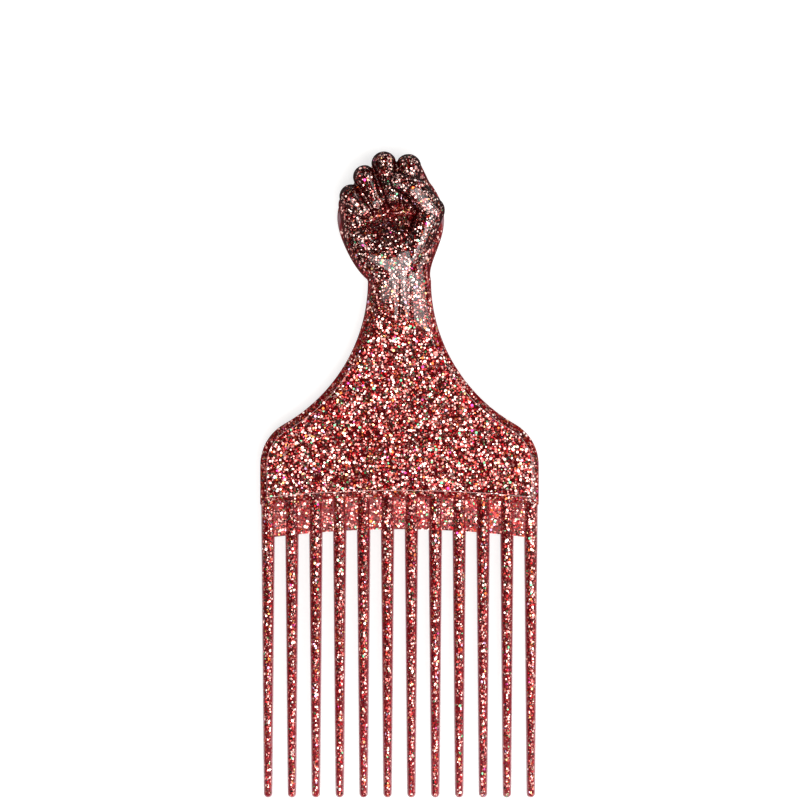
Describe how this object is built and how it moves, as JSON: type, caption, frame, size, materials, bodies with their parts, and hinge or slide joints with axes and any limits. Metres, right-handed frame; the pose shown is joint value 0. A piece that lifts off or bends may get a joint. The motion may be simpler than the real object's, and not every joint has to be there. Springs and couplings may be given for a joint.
{
  "type": "afro pick",
  "caption": "Flat moulded hair pick: long round tapered tines under a thin web, a bevelled blade and a handle shaped as a raised fist, for lifting thick curly hair.",
  "frame": {"origin": "middle of the outline seen from the front, on the plane that the back of the hand rests on", "axes": "+X across the blade towards the thumb's side, +Y from the tine tips towards the fist, +Z out of the front, the side with the folded fingers"},
  "size_m": [0.0754, 0.175, 0.0137],
  "materials": {
    "glitter_plastic": "gloss, translucent dark red with silver glitter in it"
  },
  "bodies": {
    "root": {"blade": "glitter_plastic", "web": "glitter_plastic", "tine_01": "glitter_plastic", "tine_02": "glitter_plastic", "tine_03": "glitter_plastic", "tine_04": "glitter_plastic", "tine_05": "glitter_plastic", "tine_06": "glitter_plastic", "tine_07": "glitter_plastic", "tine_08": "glitter_plastic", "tine_09": "glitter_plastic", "tine_10": "glitter_plastic", "tine_11": "glitter_plastic", "tine_12": "glitter_plastic", "forearm": "glitter_plastic", "palm": "glitter_plastic", "finger_index": "glitter_plastic", "finger_middle": "glitter_plastic", "finger_ring": "glitter_plastic", "finger_little": "glitter_plastic", "thumb": "glitter_plastic"}
  },
  "joints": []
}
